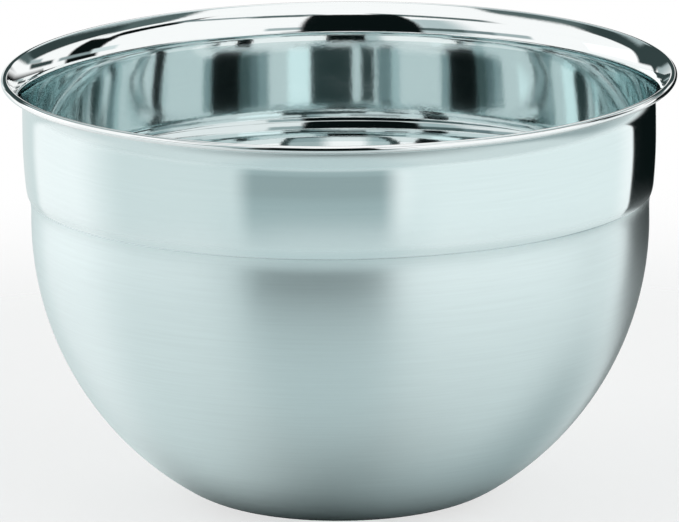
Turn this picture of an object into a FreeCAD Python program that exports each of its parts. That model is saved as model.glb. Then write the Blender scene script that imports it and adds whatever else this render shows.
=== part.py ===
"""Stainless-steel mixing bowl, pressed from one round sheet.

The sheet is followed from the middle of the base to its rolled edge as a chain of straight runs and
tangent turns on its outer face. The inner face lies one sheet thickness to the left of that chain, and
the closed section between the two faces is turned round the bowl's upright axis. Sizes are in
millimetres and degrees, the base stands on z = 0 and +Z points out of the mouth.
"""
import FreeCAD, Part
import math
import os

# Driving sizes of the whole bowl
SHEET_THICKNESS = 0.8
MOUTH_DIAMETER = 240.0
BOWL_HEIGHT = 165.0
BASE_DIAMETER = 76.0

# Lower body, from the flat base up to the step
BASE_CORNER_RADIUS = 44.0
LOWER_WALL_HEIGHT = 5.0

# Drawn step under the band: a hollow cove, a short ledge, a crisp edge and a round shoulder
COVE_RADIUS = 16.0
COVE_SLOPE = 20.0
LEDGE_RADIUS = 0.5
LEDGE_SLOPE = 45.0
STEP_EDGE_INSIDE_RADIUS = 0.4
SHOULDER_RADIUS = 18.0
SHOULDER_SLOPE = 15.0

# Band between the step and the pouring rim: a long draw that comes upright and a straight run
DRAW_RADIUS = 220.0
DRAW_SLOPE = 5.5
BAND_HEIGHT = 9.3

# Pouring rim: an outward sweep, a short cone and the rolled edge
FLARE_RADIUS = 12.0
FLARE_ANGLE = 47.0
FLARE_CONE_LENGTH = 3.0
CURL_INSIDE_RADIUS = 0.75
CURL_GAP = 0.3

UPRIGHT = 90.0
THREE_QUARTER_TURN = 270.0
FULL_TURN = 360.0
ORIGIN = FreeCAD.Vector(0, 0, 0)
BOWL_AXIS = FreeCAD.Vector(0, 0, 1)


def sine(angle):
    """Sine of an angle in degrees."""
    return math.sin(math.radians(angle))


def cosine(angle):
    """Cosine of an angle in degrees."""
    return math.cos(math.radians(angle))


class SheetSection:
    """Half section of a bent sheet, drawn from the bowl's axis outwards.

    The pen follows the outer face. A positive turn bends the sheet towards the inside of the bowl, on
    its left, and a negative one away from it. Every radius is that of the outer face.
    """

    def __init__(self, thickness):
        self.thickness = thickness
        self.radius = 0.0
        self.height = 0.0
        self.heading = 0.0
        self.outer_edges = []
        self.inner_edges = []

    def point(self, to_left=0.0):
        """Place of the pen, moved to the left of its heading by the given distance."""
        return FreeCAD.Vector(self.radius - to_left * sine(self.heading), 0,
                              self.height + to_left * cosine(self.heading))

    def faces_here(self):
        """Points of the outer and the inner face at the pen."""
        return self.point(), self.point(self.thickness)

    def run(self, length):
        """Go straight on."""
        outer_start, inner_start = self.faces_here()
        self.radius += length * cosine(self.heading)
        self.height += length * sine(self.heading)
        outer_end, inner_end = self.faces_here()
        self.outer_edges.append(Part.LineSegment(outer_start, outer_end).toShape())
        self.inner_edges.append(Part.LineSegment(inner_start, inner_end).toShape())

    def turn(self, bend_radius, angle):
        """Bend through an angle about a centre on the side that the sheet bends to."""
        to_centre = math.copysign(bend_radius, angle)
        centre = self.point(to_centre)
        stations = [self.faces_here()]
        for _ in range(2):
            self.heading += angle / 2
            self.radius = centre.x + to_centre * sine(self.heading)
            self.height = centre.z - to_centre * cosine(self.heading)
            stations.append(self.faces_here())
        outer_points, inner_points = zip(*stations)
        self.outer_edges.append(Part.Arc(*outer_points).toShape())
        self.inner_edges.append(Part.Arc(*inner_points).toShape())

    def face(self):
        """Closed face between the two faces of the sheet, from the axis to its cut edge."""
        cut_edge = Part.LineSegment(*self.faces_here()).toShape()
        on_axis = Part.LineSegment(ORIGIN, FreeCAD.Vector(0, 0, self.thickness)).toShape()
        edges = self.outer_edges + [cut_edge] + self.inner_edges + [on_axis]
        return Part.Face(Part.Wire(Part.__sortEdges__(edges)))


# Step: the radius of each bend and the wall's slopes below and above it, from the lower wall up to the band
step_edge_radius = STEP_EDGE_INSIDE_RADIUS + SHEET_THICKNESS
STEP_BENDS = [
    (COVE_RADIUS, 0.0, COVE_SLOPE),
    (LEDGE_RADIUS, COVE_SLOPE, LEDGE_SLOPE),
    (step_edge_radius, LEDGE_SLOPE, SHOULDER_SLOPE),
    (SHOULDER_RADIUS, SHOULDER_SLOPE, DRAW_SLOPE),
    (DRAW_RADIUS, DRAW_SLOPE, 0.0),
]

# How far the step draws the wall in and up
step_in = sum(bend * abs(cosine(below) - cosine(above)) for bend, below, above in STEP_BENDS)
step_height = sum(bend * abs(sine(below) - sine(above)) for bend, below, above in STEP_BENDS)

# Rim: its visible roll, how high it stands over the band and how far round the edge is rolled
curl_radius = CURL_INSIDE_RADIUS + SHEET_THICKNESS
rim_height = ((FLARE_RADIUS - CURL_INSIDE_RADIUS) * sine(FLARE_ANGLE)
              + FLARE_CONE_LENGTH * cosine(FLARE_ANGLE)
              + curl_radius)
curl_close = math.degrees(math.asin((CURL_INSIDE_RADIUS - CURL_GAP) / curl_radius))
curl_angle = THREE_QUARTER_TURN + curl_close

# Body sweep: the arc that is tangent to the upright lower wall and to the base corner
base_radius = BASE_DIAMETER / 2
lower_wall_radius = MOUTH_DIAMETER / 2 + SHEET_THICKNESS - step_in
body_height = BOWL_HEIGHT - rim_height - BAND_HEIGHT - step_height - LOWER_WALL_HEIGHT
sweep_out = lower_wall_radius - base_radius - BASE_CORNER_RADIUS
sweep_up = body_height - BASE_CORNER_RADIUS
body_angle = 2 * math.degrees(math.atan2(sweep_out, sweep_up))
body_radius = BASE_CORNER_RADIUS + sweep_up / sine(body_angle)


def bowl_section():
    """Half section of the whole bowl, from the middle of its base to the rolled edge."""
    section = SheetSection(SHEET_THICKNESS)
    section.run(base_radius)
    section.turn(BASE_CORNER_RADIUS, UPRIGHT - body_angle)
    section.turn(body_radius, body_angle)
    section.run(LOWER_WALL_HEIGHT)
    for bend, below, above in STEP_BENDS:
        section.turn(bend, below - above)
    section.run(BAND_HEIGHT)
    section.turn(FLARE_RADIUS, -FLARE_ANGLE)
    section.run(FLARE_CONE_LENGTH)
    section.turn(CURL_INSIDE_RADIUS, -curl_angle)
    return section.face()


def bowl_shell():
    """The whole bowl as one closed solid."""
    return bowl_section().revolve(ORIGIN, BOWL_AXIS, FULL_TURN)


os.makedirs("parts", exist_ok=True)
bowl = bowl_shell()
bowl.exportStep("parts/bowl_shell.step")
box = bowl.optimalBoundingBox(False, False)
print("bowl_shell: valid", bowl.isValid(), "closed", bowl.isClosed(), bowl.ShapeType)
print(f"size {box.XLength:.2f} x {box.YLength:.2f} x {box.ZLength:.2f} mm, volume {bowl.Volume:.0f} mm3")
print(f"lower wall radius {lower_wall_radius:.2f}, step in {step_in:.2f}, step height {step_height:.2f}")
print(f"body radius {body_radius:.2f} through {body_angle:.2f} degrees, rim height {rim_height:.2f}")
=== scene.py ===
"""Stainless-steel mixing bowl: its turned shell, its finishes, a light tent and the camera.

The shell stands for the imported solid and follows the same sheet. A pen walks along the outer face from the
middle of the base to the rolled edge, and the inner face lies one sheet thickness to its left. Lengths are
in metres, angles in degrees, the base stands on z = 0 and the camera looks from the -Y side.
"""

import logging
import math
from dataclasses import dataclass, field
from enum import Enum
from typing import Any, Optional, Union

import bmesh
import bpy
from mathutils import Matrix, Vector


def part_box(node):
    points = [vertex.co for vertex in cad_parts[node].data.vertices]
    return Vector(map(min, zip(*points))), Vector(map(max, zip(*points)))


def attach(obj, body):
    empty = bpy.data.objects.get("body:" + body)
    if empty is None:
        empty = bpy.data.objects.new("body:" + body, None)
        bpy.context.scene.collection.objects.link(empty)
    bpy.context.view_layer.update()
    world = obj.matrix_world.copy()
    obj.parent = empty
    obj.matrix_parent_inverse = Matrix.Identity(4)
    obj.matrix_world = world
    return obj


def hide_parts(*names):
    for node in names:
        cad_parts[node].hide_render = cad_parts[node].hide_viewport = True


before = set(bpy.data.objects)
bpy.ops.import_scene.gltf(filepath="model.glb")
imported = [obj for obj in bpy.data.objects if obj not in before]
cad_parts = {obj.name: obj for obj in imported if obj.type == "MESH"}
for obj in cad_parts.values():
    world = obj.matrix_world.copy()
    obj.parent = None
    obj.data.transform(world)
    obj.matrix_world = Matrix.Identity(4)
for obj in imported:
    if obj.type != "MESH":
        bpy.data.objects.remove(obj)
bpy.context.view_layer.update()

log = logging.getLogger("mixing_bowl")

Colour = tuple[float, float, float]
Place = tuple[float, float]
Number = Union[float, "Signal"]

BOWL_NODE = "bowl_shell"
BOWL_BODY = "root"
BAKE_MAP = "OFBake"
WHITE: Colour = (1.0, 1.0, 1.0)
MIRROR_BOUNCES = 24
HALF_TURN = 180.0
DEGREES_IN_RADIAN = math.degrees(1.0)


def sine(angle: float) -> float:
    """Sine of an angle in degrees."""
    return math.sin(math.radians(angle))


def cosine(angle: float) -> float:
    """Cosine of an angle in degrees."""
    return math.cos(math.radians(angle))


class Finish(Enum):
    """Finishes of the sheet, by the shell's material slot."""

    POLISHED = 0
    INSIDE = 1
    SATIN = 2
    BRUSHED = 3


class Signal:
    """A shader value that Python's operators turn into Math nodes."""

    def __init__(self, graph: "Graph", socket: bpy.types.NodeSocket) -> None:
        """Wrap an output socket of the graph."""
        self.graph = graph
        self.socket = socket

    def math(self, operation: str, *others: Number) -> "Signal":
        """Add a Math node.

        Args:
            operation: Name of the Math node's operation.
            others: Its operands after this value.

        Returns:
            The node's result.
        """
        operands = dict(enumerate((self, *others)))
        return self.graph.signal("ShaderNodeMath", {"operation": operation}, operands)

    def __add__(self, other: Number) -> "Signal":
        """Sum of two values."""
        return self.math("ADD", other)

    __radd__ = __add__

    def __sub__(self, other: Number) -> "Signal":
        """This value less another."""
        return self.math("SUBTRACT", other)

    def __rsub__(self, other: Number) -> "Signal":
        """Another value less this one."""
        return self * -1.0 + other

    def __mul__(self, other: Number) -> "Signal":
        """Product of two values."""
        return self.math("MULTIPLY", other)

    __rmul__ = __mul__

    def __truediv__(self, other: Number) -> "Signal":
        """This value divided by another."""
        return self.math("DIVIDE", other)

    def __rtruediv__(self, other: Number) -> "Signal":
        """Another value divided by this one."""
        return self.math("POWER", -1.0) * other

    def __abs__(self) -> "Signal":
        """Size of the value without its sign."""
        return self.math("ABSOLUTE")

    def rise(self, middle: float, soft: float) -> "Signal":
        """Smooth step from 0 to 1.

        Args:
            middle: Value at which the step is halfway.
            soft: Half the width of the step.

        Returns:
            The step as a value from 0 to 1.
        """
        settings = {"interpolation_type": "SMOOTHSTEP"}
        limits = {"Value": self, "From Min": middle - soft, "From Max": middle + soft}
        return self.graph.signal("ShaderNodeMapRange", settings, limits)


class Graph:
    """A node tree that is filled by expressions."""

    def __init__(self, tree: bpy.types.NodeTree) -> None:
        """Empty the tree and keep it."""
        self.tree = tree
        tree.nodes.clear()

    def node(self, kind: str, settings: Optional[dict[str, Any]] = None,
             inputs: Optional[dict[Union[str, int], Any]] = None) -> bpy.types.Node:
        """Add a node of any type.

        Args:
            kind: Blender's name of the node type.
            settings: Properties of the node, set before its sockets.
            inputs: Values, signals or sockets by the input's identifier, name or place.

        Returns:
            The new node.
        """
        node = self.tree.nodes.new(kind)
        for name, setting in (settings or {}).items():
            setattr(node, name, setting)
        for key, value in (inputs or {}).items():
            socket = self.find(node.inputs, key)
            source = value.socket if isinstance(value, Signal) else value
            if isinstance(source, bpy.types.NodeSocket):
                self.tree.links.new(source, socket)
            elif isinstance(source, tuple) and socket.type == "RGBA":
                socket.default_value = (*source, 1.0)
            else:
                socket.default_value = source
        return node

    @staticmethod
    def find(sockets: Any, key: Union[str, int]) -> bpy.types.NodeSocket:
        """Find a socket of a node.

        Args:
            sockets: The node's inputs or outputs.
            key: The socket's identifier, name or place.

        Returns:
            The socket.
        """
        if isinstance(key, int):
            return sockets[key]
        return next((socket for socket in sockets if socket.identifier == key), None) or sockets[key]

    def signal(self, kind: str, settings: Optional[dict[str, Any]] = None,
               inputs: Optional[dict[Union[str, int], Any]] = None, output: Union[str, int] = 0) -> Signal:
        """Add a node and wrap one of its outputs.

        Args:
            kind: Blender's name of the node type.
            settings: Properties of the node, set before its sockets.
            inputs: Values, signals or sockets by the input's identifier, name or place.
            output: Identifier, name or place of the output.

        Returns:
            The output.
        """
        node = self.node(kind, settings, inputs)
        return Signal(self, self.find(node.outputs, output))

    def blend(self, amount: Number, first: Any, second: Any) -> Signal:
        """Mix two colours.

        Args:
            amount: Share of the second colour.
            first: First colour.
            second: Second colour.

        Returns:
            The mixed colour.
        """
        inputs = {"Factor_Float": amount, "A_Color": first, "B_Color": second}
        return self.signal("ShaderNodeMix", {"data_type": "RGBA"}, inputs, "Result_Color")


@dataclass(frozen=True)
class Steel:
    """A finish of stainless steel.

    The tint is the colour of a full reflection. The grain is noise that is stretched round the bowl's axis,
    as a turning polish leaves it, and it moves the roughness, the tint and the surface a little.
    """

    name: str
    tint: Colour
    dark_tint: Colour
    roughness: float
    roughness_spread: float
    anisotropy: float
    grain_per_metre: float
    grain_round: float
    grain_depth: float
    ripple_per_metre: float
    ripple_depth: float

    ACROSS_THE_GRAIN = 0.25
    OFF_THE_AXIS = 0.000001
    NOISE_MIDDLE = 0.5
    GRAIN_DETAIL = 3.0
    GRAIN_ROUGHNESS = 0.6
    RIPPLE_DETAIL = 2.0
    RIPPLE_ROUGHNESS = 0.5

    def material(self) -> bpy.types.Material:
        """Make the finish's material.

        Returns:
            The material, with all of its patterns worked out from the place on the bowl.
        """
        steel = bpy.data.materials.new(self.name)
        steel.use_nodes = True
        graph = Graph(steel.node_tree)
        place = graph.node("ShaderNodeTexCoord").outputs["Object"]
        grain = self.grain(graph, place)
        ripple = graph.signal("ShaderNodeTexNoise", {}, {
            "Vector": place, "Scale": self.ripple_per_metre,
            "Detail": self.RIPPLE_DETAIL, "Roughness": self.RIPPLE_ROUGHNESS})
        height = ((grain - self.NOISE_MIDDLE) * self.grain_depth
                  + (ripple - self.NOISE_MIDDLE) * self.ripple_depth)
        bump = graph.signal("ShaderNodeBump", {}, {"Strength": 1.0, "Distance": 1.0, "Height": height})
        shader = graph.node("ShaderNodeBsdfPrincipled", {}, {
            "Base Color": graph.blend(grain, self.dark_tint, self.tint),
            "Metallic": 1.0,
            "Roughness": (grain - self.NOISE_MIDDLE) * self.roughness_spread + self.roughness,
            "Anisotropic": self.anisotropy,
            "Anisotropic Rotation": self.ACROSS_THE_GRAIN,
            "Normal": bump})
        graph.node("ShaderNodeOutputMaterial", {}, {"Surface": shader.outputs["BSDF"]})
        return steel

    def grain(self, graph: Graph, place: bpy.types.NodeSocket) -> Signal:
        """Noise drawn out round the axis.

        Args:
            graph: Node tree of the material.
            place: Position on the bowl.

        Returns:
            The grain, from 0 to 1.
        """
        axes = graph.node("ShaderNodeSeparateXYZ", {}, {"Vector": place})
        across, along, up = (Signal(graph, axes.outputs[name]) for name in "XYZ")
        radius = (across * across + along * along).math("SQRT") + self.OFF_THE_AXIS
        around = graph.signal("ShaderNodeCombineXYZ", {}, {
            "X": across / radius * self.grain_round,
            "Y": along / radius * self.grain_round,
            "Z": (up + radius) * self.grain_per_metre})
        return graph.signal("ShaderNodeTexNoise", {}, {
            "Vector": around, "Scale": 1.0,
            "Detail": self.GRAIN_DETAIL, "Roughness": self.GRAIN_ROUGHNESS})


POLISHED_STEEL = Steel(
    name="polished_steel", tint=(0.94, 0.97, 0.97), dark_tint=(0.91, 0.94, 0.94), roughness=0.04,
    roughness_spread=0.03, anisotropy=0.0, grain_per_metre=700.0, grain_round=5.0, grain_depth=0.0,
    ripple_per_metre=700.0, ripple_depth=0.000004)
INSIDE_STEEL = Steel(
    name="inside_steel", tint=(0.73, 0.81, 0.815), dark_tint=(0.69, 0.77, 0.775), roughness=0.05,
    roughness_spread=0.03, anisotropy=0.0, grain_per_metre=700.0, grain_round=5.0, grain_depth=0.0,
    ripple_per_metre=800.0, ripple_depth=0.000005)
SATIN_STEEL = Steel(
    name="satin_steel", tint=(0.86, 0.96, 0.965), dark_tint=(0.80, 0.90, 0.905), roughness=0.08,
    roughness_spread=0.03, anisotropy=0.6, grain_per_metre=1100.0, grain_round=3.0, grain_depth=0.0000006,
    ripple_per_metre=40.0, ripple_depth=0.0)
BRUSHED_STEEL = Steel(
    name="brushed_steel", tint=(0.87, 0.98, 0.985), dark_tint=(0.78, 0.88, 0.885), roughness=0.32,
    roughness_spread=0.06, anisotropy=0.8, grain_per_metre=1000.0, grain_round=3.0, grain_depth=0.000002,
    ripple_per_metre=40.0, ripple_depth=0.0)


@dataclass(frozen=True)
class Row:
    """One row of the section: a place on the sheet's face and the finish of the strip that follows it.

    A crisp row is a sharp edge of the sheet.
    """

    radius: float
    height: float
    finish: Finish
    crisp: bool = False


@dataclass
class SheetPen:
    """Pen that follows the outer face of a bent sheet from the axis outwards.

    A positive turn bends the sheet towards the inside of the bowl, on the pen's left, and a negative one
    away from it. Every radius is that of the outer face.
    """

    thickness: float
    longest_step: float = 0.002
    widest_turn: float = 5.0
    radius: float = 0.0
    height: float = 0.0
    heading: float = 0.0
    inner_finish: Finish = Finish.POLISHED
    outer: list[Row] = field(default_factory=list)
    inner: list[Row] = field(default_factory=list)

    def place(self, to_left: float = 0.0) -> Place:
        """Radius and height of the pen, moved to the left of its heading."""
        return self.radius - to_left * sine(self.heading), self.height + to_left * cosine(self.heading)

    def mark(self, finish: Finish) -> None:
        """Put down one row on each face, with the finish of the outer strip that follows."""
        self.outer.append(Row(*self.place(), finish))
        self.inner.append(Row(*self.place(self.thickness), self.inner_finish))

    def run(self, length: float, finish: Finish) -> None:
        """Go straight on.

        Args:
            length: Length of the run.
            finish: Finish of the outer face along it.
        """
        steps = math.ceil(length / self.longest_step)
        for _ in range(steps):
            self.mark(finish)
            self.radius += length / steps * cosine(self.heading)
            self.height += length / steps * sine(self.heading)

    def turn(self, bend_radius: float, angle: float, finish: Finish) -> None:
        """Bend through an angle about a centre on the side that the sheet bends to.

        Args:
            bend_radius: Radius of the outer face.
            angle: Turn of the heading, positive to the left.
            finish: Finish of the outer face along the bend.
        """
        to_centre = math.copysign(bend_radius, angle)
        centre = self.place(to_centre)
        length = math.radians(abs(angle)) * bend_radius
        steps = math.ceil(max(abs(angle) / self.widest_turn, length / self.longest_step))
        for _ in range(steps):
            self.mark(finish)
            self.heading += angle / steps
            self.radius = centre[0] + to_centre * sine(self.heading)
            self.height = centre[1] - to_centre * cosine(self.heading)

    def section(self) -> list[Row]:
        """Close the section over the sheet's cut edge.

        Returns:
            All rows from the axis along the outer face to the cut edge and back along the inner face.
        """
        edge_outside = Row(*self.place(), Finish.POLISHED, crisp=True)
        edge_inside = Row(*self.place(self.thickness), Finish.POLISHED, crisp=True)
        return self.outer + [edge_outside, edge_inside] + self.inner[::-1]


@dataclass(frozen=True)
class Bend:
    """One bend of an upright wall, between its slopes below and above the bend."""

    radius: float
    below: float
    above: float
    finish: Finish

    @property
    def drawn_in(self) -> float:
        """How far the bend draws the wall in."""
        return self.radius * abs(cosine(self.below) - cosine(self.above))

    @property
    def height(self) -> float:
        """Height of the bend."""
        return self.radius * abs(sine(self.below) - sine(self.above))


@dataclass
class BowlShell:
    """The bowl: one sheet, pressed to a round body with a step, a band and a rolled pouring rim."""

    height: float
    rim_radius: float
    sheet: float = 0.0008
    base_radius: float = 0.038
    base_corner_radius: float = 0.044
    lower_wall_height: float = 0.005
    cove_radius: float = 0.016
    cove_slope: float = 20.0
    ledge_radius: float = 0.0005
    ledge_slope: float = 45.0
    step_edge_radius: float = 0.0012
    shoulder_radius: float = 0.018
    shoulder_slope: float = 15.0
    draw_radius: float = 0.220
    draw_slope: float = 5.5
    band_height: float = 0.0093
    flare_radius: float = 0.012
    flare_angle: float = 47.0
    flare_cone_length: float = 0.003
    curl_inside_radius: float = 0.00075
    curl_gap: float = 0.0003
    segments: int = 240

    name = "mixing_bowl_shell"
    UPRIGHT = 90.0
    THREE_QUARTER_TURN = 270.0

    @property
    def curl_radius(self) -> float:
        """Outer radius of the rolled edge."""
        return self.curl_inside_radius + self.sheet

    @property
    def rim_overhang(self) -> float:
        """How far the rolled edge stands out from the band."""
        return (self.flare_radius * (1 - cosine(self.flare_angle))
                + (self.flare_cone_length + self.curl_inside_radius) * sine(self.flare_angle)
                + self.curl_radius)

    @property
    def rim_height(self) -> float:
        """How far the rolled edge stands above the band."""
        return ((self.flare_radius - self.curl_inside_radius) * sine(self.flare_angle)
                + self.flare_cone_length * cosine(self.flare_angle) + self.curl_radius)

    @property
    def step_bends(self) -> list[Bend]:
        """Bends of the drawn step, from the lower wall up to the band."""
        return [
            Bend(self.cove_radius, 0.0, self.cove_slope, Finish.BRUSHED),
            Bend(self.ledge_radius, self.cove_slope, self.ledge_slope, Finish.BRUSHED),
            Bend(self.step_edge_radius, self.ledge_slope, self.shoulder_slope, Finish.SATIN),
            Bend(self.shoulder_radius, self.shoulder_slope, self.draw_slope, Finish.SATIN),
            Bend(self.draw_radius, self.draw_slope, 0.0, Finish.SATIN)]

    def section(self) -> list[Row]:
        """Walk the sheet from the middle of the base to the rolled edge.

        Returns:
            The rows of the closed section.
        """
        step_in = sum(bend.drawn_in for bend in self.step_bends)
        step_height = sum(bend.height for bend in self.step_bends)
        lower_wall_radius = self.rim_radius - self.rim_overhang - step_in
        body_height = self.height - self.rim_height - self.band_height - step_height - self.lower_wall_height
        sweep_out = lower_wall_radius - self.base_radius - self.base_corner_radius
        sweep_up = body_height - self.base_corner_radius
        body_angle = 2 * math.degrees(math.atan2(sweep_out, sweep_up))
        body_radius = self.base_corner_radius + sweep_up / sine(body_angle)
        curl_close = math.degrees(math.asin((self.curl_inside_radius - self.curl_gap) / self.curl_radius))

        pen = SheetPen(self.sheet)
        pen.run(self.base_radius, Finish.BRUSHED)
        pen.turn(self.base_corner_radius, self.UPRIGHT - body_angle, Finish.BRUSHED)
        pen.turn(body_radius, body_angle, Finish.BRUSHED)
        pen.run(self.lower_wall_height, Finish.BRUSHED)
        pen.inner_finish = Finish.INSIDE
        for bend in self.step_bends:
            pen.turn(bend.radius, bend.below - bend.above, bend.finish)
        pen.run(self.band_height, Finish.SATIN)
        pen.inner_finish = Finish.POLISHED
        pen.turn(self.flare_radius, -self.flare_angle, Finish.SATIN)
        pen.run(self.flare_cone_length, Finish.SATIN)
        pen.turn(self.curl_inside_radius, -self.THREE_QUARTER_TURN - curl_close, Finish.POLISHED)
        return pen.section()

    def mesh(self) -> bpy.types.Mesh:
        """Turn the section round the axis.

        Returns:
            A closed mesh with a finish on every face and an unrolled map of the sheet.
        """
        rows = self.section()
        shell = bmesh.new()
        rings = [self.ring(shell, row) for row in rows]
        unrolled = shell.loops.layers.uv.new(BAKE_MAP)
        for number, row in enumerate(rows[:-1]):
            for turn in range(self.segments):
                self.facet(shell, rings, number, turn, row, unrolled)
        for ring, row in zip(rings, rows):
            if row.crisp:
                for start, end in zip(ring, ring[1:] + ring[:1]):
                    shell.edges.get((start, end)).smooth = False
        mesh = bpy.data.meshes.new(self.name)
        shell.to_mesh(mesh)
        shell.free()
        return mesh

    def ring(self, shell: bmesh.types.BMesh, row: Row) -> list[bmesh.types.BMVert]:
        """Vertices of one row, all round or at the pole.

        Args:
            shell: The mesh being made.
            row: Row of the section.

        Returns:
            One vertex for each segment, or a single one on the axis.
        """
        if row.radius < self.sheet:
            return [shell.verts.new((0.0, 0.0, row.height))]
        turns = (math.tau * turn / self.segments for turn in range(self.segments))
        return [shell.verts.new((row.radius * math.cos(turn), row.radius * math.sin(turn), row.height))
                for turn in turns]

    def facet(self, shell: bmesh.types.BMesh, rings: list[list[bmesh.types.BMVert]], number: int, turn: int,
              row: Row, unrolled: bmesh.types.BMLayerItem) -> None:
        """Add the face between two rows at one segment.

        Args:
            shell: The mesh being made.
            rings: Vertices of all rows.
            number: Number of the lower row.
            turn: Number of the segment.
            row: The lower row, which gives the finish.
            unrolled: Layer of the unrolled map.
        """
        corners: dict[bmesh.types.BMVert, Place] = {}
        for line, column in ((number, turn), (number, turn + 1), (number + 1, turn + 1), (number + 1, turn)):
            vertex = rings[line][column % len(rings[line])]
            corners.setdefault(vertex, (column / self.segments, line / (len(rings) - 1)))
        face = shell.faces.new(list(corners))
        face.smooth = True
        face.material_index = row.finish.value
        for loop in face.loops:
            loop[unrolled].uv = corners[loop.vert]

    def build(self) -> bpy.types.Object:
        """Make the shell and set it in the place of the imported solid.

        Returns:
            The shell's object.
        """
        shell = bpy.data.objects.new(self.name, self.mesh())
        bpy.context.scene.collection.objects.link(shell)
        finishes = {Finish.POLISHED: POLISHED_STEEL, Finish.INSIDE: INSIDE_STEEL,
                    Finish.SATIN: SATIN_STEEL, Finish.BRUSHED: BRUSHED_STEEL}
        for finish in Finish:
            shell.data.materials.append(finishes[finish].material())
        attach(shell, BOWL_BODY)
        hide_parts(BOWL_NODE)
        return shell


@dataclass(frozen=True)
class Card:
    """A card or flag of the light tent, placed by its direction from the bowl.

    Azimuth 0 is the camera's side and positive azimuths are on its right. A slanted card climbs by its slant
    for each degree to the right of its middle, where its low and high ends are given.
    """

    azimuth: float
    half_width: float
    low: float
    high: float
    colour: Colour
    soft: float = 1.5
    soft_ends: float = 1.5
    slant: float = 0.0

    def mask(self, azimuth: Signal, elevation: Signal) -> Signal:
        """Share of the card in a direction.

        Args:
            azimuth: Azimuth of the direction.
            elevation: Elevation of the direction.

        Returns:
            1 on the card and 0 off it.
        """
        aside = (azimuth - self.azimuth).math("WRAP", HALF_TURN, -HALF_TURN)
        level = elevation - aside * self.slant
        inside = 1 - abs(aside).rise(self.half_width, self.soft)
        return inside * level.rise(self.low, self.soft_ends) * (1 - level.rise(self.high, self.soft_ends))


@dataclass
class LightTent:
    """White surroundings with dark, grey and white cards, and a pale round floor with a painted shadow under
    the bowl.
    """

    cards: tuple[Card, ...]
    tent: Colour = WHITE
    under: Colour = (0.72, 0.78, 0.78)
    shade: Colour = (0.03, 0.05, 0.05)
    under_from: float = -24.0
    under_soft: float = 8.0
    shade_from: float = -74.0
    shade_soft: float = 26.0
    floor_radius: float = 1.1
    floor_segments: int = 128
    floor_colour: Colour = (0.95, 0.96, 0.96)
    floor_body: float = 0.3
    floor_end: float = 0.43
    floor_fade: float = 0.12
    # Painted contact shadow: colour, radius and fade of a dark patch on the floor under the bowl
    painted_shadow_colour: Colour = (0.05, 0.07, 0.07)
    painted_shadow_radius: float = 0.075
    painted_shadow_fade: float = 0.03

    def light(self) -> bpy.types.World:
        """Make the surroundings.

        Returns:
            The world, plain white to the camera and a tent to everything else.
        """
        world = bpy.data.worlds.new("light_tent")
        bpy.context.scene.world = world
        world.use_nodes = True
        graph = Graph(world.node_tree)
        towards = graph.node("ShaderNodeTexCoord").outputs["Generated"]
        axes = graph.node("ShaderNodeSeparateXYZ", {}, {"Vector": towards})
        right, away, up = (Signal(graph, axes.outputs[name]) for name in "XYZ")
        azimuth = right.math("ARCTAN2", 0 - away) * DEGREES_IN_RADIAN
        elevation = up.math("ARCSINE") * DEGREES_IN_RADIAN
        below = graph.blend(elevation.rise(self.shade_from, self.shade_soft), self.shade, self.under)
        colour = graph.blend(elevation.rise(self.under_from, self.under_soft), below, self.tent)
        for card in self.cards:
            colour = graph.blend(card.mask(azimuth, elevation), colour, card.colour)
        seen = graph.node("ShaderNodeLightPath").outputs["Is Camera Ray"]
        shown = graph.blend(Signal(graph, seen), colour, WHITE)
        background = graph.node("ShaderNodeBackground", {}, {"Color": shown, "Strength": 1.0})
        graph.node("ShaderNodeOutputWorld", {}, {"Surface": background.outputs["Background"]})
        return world

    def floor(self) -> bpy.types.Object:
        """Make the floor.

        Returns:
            A pale disc that fades out at its edge.
        """
        disc = bmesh.new()
        bmesh.ops.create_circle(disc, cap_ends=True, segments=self.floor_segments, radius=self.floor_radius)
        mesh = bpy.data.meshes.new("studio_floor")
        disc.to_mesh(mesh)
        disc.free()
        mesh.materials.append(self.floor_material())
        floor = bpy.data.objects.new("studio_floor", mesh)
        bpy.context.scene.collection.objects.link(floor)
        return floor

    def floor_material(self) -> bpy.types.Material:
        """Make the floor's finish.

        Returns:
            A pale matt material, part see-through so that the shadow on it is light, and with a painted
            contact shadow under the bowl, a dark patch that shows in the steel and is hidden from the
            camera.
        """
        matt = bpy.data.materials.new("pale_matt_floor")
        matt.use_nodes = True
        graph = Graph(matt.node_tree)
        place = graph.node("ShaderNodeTexCoord").outputs["Object"]
        reach = graph.signal("ShaderNodeVectorMath", {"operation": "LENGTH"}, {"Vector": place}, "Value")
        floor = (1 - reach.rise(self.floor_end, self.floor_fade)) * self.floor_body
        seen = graph.node("ShaderNodeLightPath").outputs["Is Camera Ray"]
        # Painted contact shadow: the floor turns dark under the bowl for every ray except the camera's
        painted_shadow = (1 - reach.rise(self.painted_shadow_radius, self.painted_shadow_fade)) * (1 - Signal(graph, seen))
        body = floor.math("MAXIMUM", painted_shadow)
        colour = graph.blend(painted_shadow, self.floor_colour, self.painted_shadow_colour)
        pale = graph.node("ShaderNodeBsdfDiffuse", {}, {"Color": colour})
        clear = graph.node("ShaderNodeBsdfTransparent")
        surface = graph.node("ShaderNodeMixShader", {}, {
            0: body, 1: clear.outputs["BSDF"], 2: pale.outputs["BSDF"]})
        graph.node("ShaderNodeOutputMaterial", {}, {"Surface": surface.outputs["Shader"]})
        return matt


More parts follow.
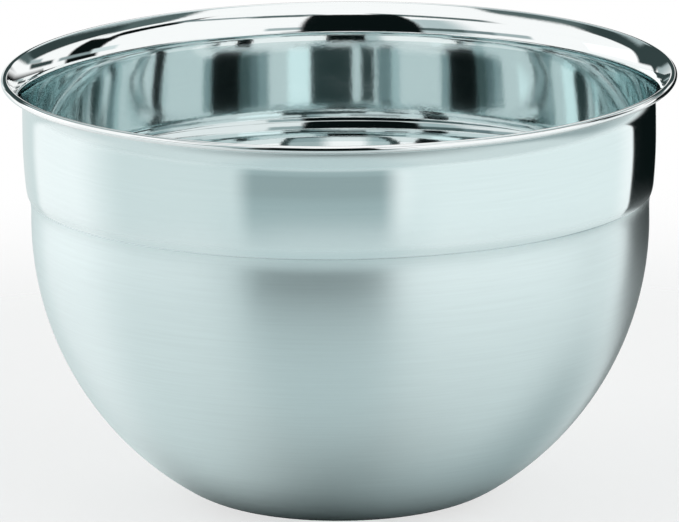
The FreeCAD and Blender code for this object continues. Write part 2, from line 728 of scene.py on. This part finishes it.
@dataclass
class ProductCamera:
    """Long lens that looks down into the bowl from the front."""

    target: tuple[float, float, float] = (-0.0005, 0.0, 0.0915)
    width_in_view: float = 0.2589
    elevation: float = 12.97
    roll: float = 0.58
    lens: float = 1200.0
    sensor: float = 36.0
    clip_end: float = 40.0

    def build(self) -> bpy.types.Object:
        """Make the camera and use it for the scene.

        Returns:
            The camera's object.
        """
        camera = bpy.data.cameras.new("product_camera")
        camera.lens = self.lens
        camera.sensor_fit = "HORIZONTAL"
        camera.sensor_width = self.sensor
        camera.clip_end = self.clip_end
        distance = self.width_in_view * self.lens / self.sensor
        back = Vector((0.0, -cosine(self.elevation), sine(self.elevation)))
        level = Vector((1.0, 0.0, 0.0))
        upward = back.cross(level)
        right = level * cosine(self.roll) - upward * sine(self.roll)
        turned_up = back.cross(right)
        turn = Matrix((right, turned_up, back)).transposed()
        mount = bpy.data.objects.new("product_camera", camera)
        mount.matrix_world = Matrix.Translation(Vector(self.target) + back * distance) @ turn.to_4x4()
        bpy.context.scene.collection.objects.link(mount)
        bpy.context.scene.camera = mount
        return mount


BLACK_VELVET: Colour = (0.003, 0.006, 0.006)
DARK_CLOTH: Colour = (0.035, 0.055, 0.055)
DIM_CLOTH: Colour = (0.09, 0.13, 0.13)
DARK_GREY: Colour = (0.18, 0.24, 0.25)
SLATE_GREY: Colour = (0.27, 0.34, 0.35)
FRONT_GREY: Colour = (0.38, 0.465, 0.475)
MID_GREY: Colour = (0.37, 0.45, 0.46)
PALE_GREY: Colour = (0.46, 0.56, 0.57)
SOFT_GREY: Colour = (0.53, 0.63, 0.64)
PEARL_GREY: Colour = (0.66, 0.75, 0.76)
LIGHT_GREY: Colour = (0.70, 0.76, 0.76)
OFF_WHITE: Colour = (0.84, 0.89, 0.89)
LAMP_WHITE: Colour = (1.35, 1.40, 1.40)

# Below the horizon: what the band and the body show outside
LOW_CARDS = (
    Card(azimuth=178.0, half_width=27.0, low=-72.0, high=-34.0, colour=BLACK_VELVET,
         soft=18.0, soft_ends=10.0),
    Card(azimuth=180.0, half_width=13.0, low=-60.0, high=-16.0, colour=BLACK_VELVET,
         soft=7.0, soft_ends=6.0),
    Card(azimuth=-128.0, half_width=22.0, low=-38.0, high=-10.0, colour=WHITE, soft=12.0, soft_ends=8.0),
    Card(azimuth=144.0, half_width=30.0, low=-76.0, high=-31.0, colour=SLATE_GREY, soft=14.0, soft_ends=9.0),
    Card(azimuth=-166.0, half_width=18.0, low=-30.0, high=-3.0, colour=LIGHT_GREY, soft=5.0, soft_ends=5.0),
    Card(azimuth=-64.0, half_width=36.0, low=-26.0, high=-3.0, colour=LIGHT_GREY, soft=16.0, soft_ends=9.0),
    Card(azimuth=75.0, half_width=52.0, low=-26.0, high=-3.0, colour=OFF_WHITE, soft=8.0, soft_ends=8.0),
    Card(azimuth=-8.5, half_width=34.0, low=-75.0, high=-20.0, colour=SOFT_GREY, soft=17.0, soft_ends=17.0),
    Card(azimuth=-8.5, half_width=27.5, low=-21.0, high=4.0, colour=FRONT_GREY, soft=5.0, soft_ends=6.0),
    Card(azimuth=-8.5, half_width=27.5, low=-11.0, high=4.0, colour=BLACK_VELVET, soft=6.0, soft_ends=3.0),
    Card(azimuth=154.0, half_width=19.0, low=-22.0, high=6.0, colour=BLACK_VELVET, soft=1.0, soft_ends=3.5),
)

# Above the horizon, what the lip shows: grey to the sides, dark lines that climb to the front, a black flag
LIP_CARDS = (
    Card(azimuth=-146.0, half_width=22.0, low=20.0, high=75.0, colour=MID_GREY, soft=8.0, slant=1.25),
    Card(azimuth=-134.0, half_width=23.0, low=29.0, high=38.0, colour=DARK_CLOTH, slant=1.25),
    Card(azimuth=134.0, half_width=24.0, low=35.0, high=80.0, colour=PALE_GREY, soft=6.0, slant=-0.8),
    Card(azimuth=132.0, half_width=19.0, low=31.0, high=38.5, colour=DARK_CLOTH, slant=-0.8),
    Card(azimuth=-113.0, half_width=14.0, low=51.0, high=64.0, colour=DIM_CLOTH, soft=3.0, slant=0.75),
    Card(azimuth=107.0, half_width=9.0, low=51.0, high=61.0, colour=DIM_CLOTH, soft=3.0, slant=-1.1),
    Card(azimuth=95.0, half_width=12.0, low=42.0, high=55.0, colour=BLACK_VELVET, slant=-0.85),
    Card(azimuth=109.0, half_width=9.5, low=3.0, high=37.0, colour=BLACK_VELVET),
    Card(azimuth=50.0, half_width=40.0, low=57.5, high=61.5, colour=DARK_GREY, soft=5.0, slant=-0.06),
    Card(azimuth=30.0, half_width=15.0, low=55.5, high=62.0, colour=DIM_CLOTH, soft=5.0),
    Card(azimuth=-46.0, half_width=27.0, low=52.0, high=59.0, colour=DIM_CLOTH, soft=6.0, slant=0.25),
    Card(azimuth=-38.0, half_width=11.0, low=2.0, high=46.0, colour=PALE_GREY, soft=8.0),
)

# Above the horizon, what the band shows inside: bars all round at the height that its wall reflects
BAR_CARDS = (
    Card(azimuth=-121.0, half_width=16.0, low=8.0, high=21.0, colour=LAMP_WHITE),
    Card(azimuth=-67.0, half_width=9.0, low=10.5, high=19.0, colour=MID_GREY),
    Card(azimuth=-52.0, half_width=8.0, low=10.5, high=19.0, colour=DARK_GREY),
    Card(azimuth=-39.0, half_width=9.0, low=10.5, high=19.0, colour=DIM_CLOTH),
    Card(azimuth=20.0, half_width=7.0, low=10.5, high=19.0, colour=MID_GREY),
    Card(azimuth=97.0, half_width=7.0, low=10.5, high=19.0, colour=PEARL_GREY),
    Card(azimuth=114.0, half_width=10.0, low=10.5, high=15.5, colour=SLATE_GREY),
    Card(azimuth=145.0, half_width=6.0, low=15.5, high=19.5, colour=MID_GREY),
    Card(azimuth=158.0, half_width=9.0, low=16.0, high=24.0, colour=DIM_CLOTH),
    Card(azimuth=138.0, half_width=9.5, low=10.0, high=15.5, colour=DARK_CLOTH),
    Card(azimuth=171.0, half_width=10.5, low=9.0, high=24.0, colour=DARK_CLOTH),
    Card(azimuth=-160.0, half_width=21.0, low=8.0, high=24.0, colour=DARK_CLOTH),
    Card(azimuth=-8.5, half_width=22.5, low=1.0, high=61.0, colour=BLACK_VELVET),
)


def main() -> None:
    """Build the bowl, the light tent and the camera."""
    logging.basicConfig(level=logging.INFO)
    bpy.context.scene.view_settings.view_transform = "Standard"
    bpy.context.scene.cycles.max_bounces = MIRROR_BOUNCES
    bpy.context.scene.cycles.glossy_bounces = MIRROR_BOUNCES
    low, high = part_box(BOWL_NODE)
    shell = BowlShell(height=high[2], rim_radius=min(high[0], -low[0])).build()
    log.info("%s: %d faces", shell.name, len(shell.data.polygons))
    tent = LightTent(LOW_CARDS + LIP_CARDS + BAR_CARDS)
    tent.light()
    log.info("%s on the stage", tent.floor().name)
    camera = ProductCamera().build()
    log.info("%s at %s", camera.name, camera.location)


if __name__ == "__main__":
    main()
